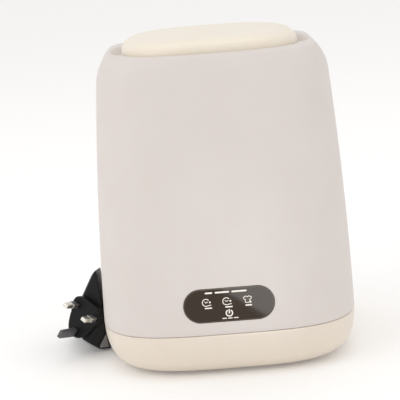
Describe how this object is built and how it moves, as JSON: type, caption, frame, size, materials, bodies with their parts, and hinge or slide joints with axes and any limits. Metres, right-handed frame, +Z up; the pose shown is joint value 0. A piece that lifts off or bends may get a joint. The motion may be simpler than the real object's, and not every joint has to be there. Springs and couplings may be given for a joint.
{
  "type": "portable mini washing machine",
  "caption": "Compact countertop washer: rounded square body, lift-off lid, belt-driven pulsator in a tub, touch panel, plug-in adapter on a thin cord.",
  "frame": {"origin": "middle of the machine's footprint, on the surface that its feet stand on, leaving out the adapter and its cord", "axes": "+Z up, -Y out of the front where the touch panel is, +X to the right of someone facing the front"},
  "size_m": [0.263, 0.2948, 0.28],
  "materials": {
    "housing": "fine matte moulded ABS, warm white",
    "cream": "satin moulded ABS, cream",
    "soft_grey": "matte silicone, warm grey",
    "tub_white": "smooth moulded polypropylene, white",
    "structure": "filled nylon, light grey",
    "steel": "zinc plated steel",
    "black_rubber": "matte black PVC",
    "panel_gloss": "polished smoked acrylic, dark brown",
    "circuit_board": "green solder mask on fibreglass",
    "black_plastic": "finely textured black polycarbonate",
    "bright_pin": "nickel plated brass",
    "dark_pin": "moulded dark grey nylon"
  },
  "bodies": {
    "machine": {"outer_housing": "housing", "base_shell": "cream", "base_cover": "cream", "rubber_foot_1": "soft_grey", "rubber_foot_2": "soft_grey", "rubber_foot_3": "soft_grey", "rubber_foot_4": "soft_grey", "base_screw_1": "steel", "base_screw_2": "steel", "base_screw_3": "steel", "base_screw_4": "steel", "wash_tub": "tub_white", "tub_gasket": "soft_grey", "drain_elbow": "structure", "drain_spout": "structure", "motor_deck": "structure", "bearing_housing": "structure", "lower_bearing": "steel", "upper_bearing": "steel", "shaft_seal": "black_rubber", "motor_can": "steel", "motor_screw_1": "steel", "motor_screw_2": "steel", "drive_belt": "black_rubber", "touch_panel": "panel_gloss", "touch_board": "circuit_board", "control_board": "circuit_board", "panel_lead": "black_rubber", "inlet_lead": "black_rubber", "motor_lead": "black_rubber", "dc_inlet": "black_plastic", "inlet_nut": "steel", "dc_plug": "black_rubber", "dc_plug_barrel": "bright_pin", "cord_to_inlet": "black_rubber", "cord_coil": "black_rubber", "cord_to_adapter": "black_rubber", "adapter_strain_relief": "black_rubber", "adapter_body": "black_plastic", "adapter_head": "black_plastic", "pin_live": "bright_pin", "pin_neutral": "bright_pin", "pin_earth": "dark_pin"},
    "lid": {"lid_shell": "cream", "lid_liner": "tub_white", "lid_seal": "soft_grey"},
    "pulsator": {"pulsator": "tub_white", "pulsator_screw": "steel", "drive_shaft": "steel", "driven_pulley": "structure", "pulley_nut": "steel"},
    "motor_rotor": {"motor_shaft": "steel", "motor_pulley": "steel"},
    "drain_plug": {"drain_plug": "soft_grey"}
  },
  "joints": [
    {"name": "lid_lift", "type": "slide", "parent": "machine", "child": "lid", "axis": [0, 0, 1], "range_m": [0, 0.06]},
    {"name": "pulsator_spin", "type": "hinge", "parent": "machine", "child": "pulsator", "pos_m": [0, 0, 0.1], "axis": [0, 0, 1], "continuous": true},
    {"name": "motor_spin", "type": "hinge", "parent": "machine", "child": "motor_rotor", "pos_m": [0, 0.054, 0.03], "axis": [0, 0, 1], "continuous": true},
    {"name": "drain_plug_pull", "type": "slide", "parent": "machine", "child": "drain_plug", "axis": [0, 1, 0], "range_m": [0, 0.025]}
  ],
  "couplings": [
    {"joint": "motor_spin", "follows": "pulsator_spin", "ratio": 5.35}
  ]
}
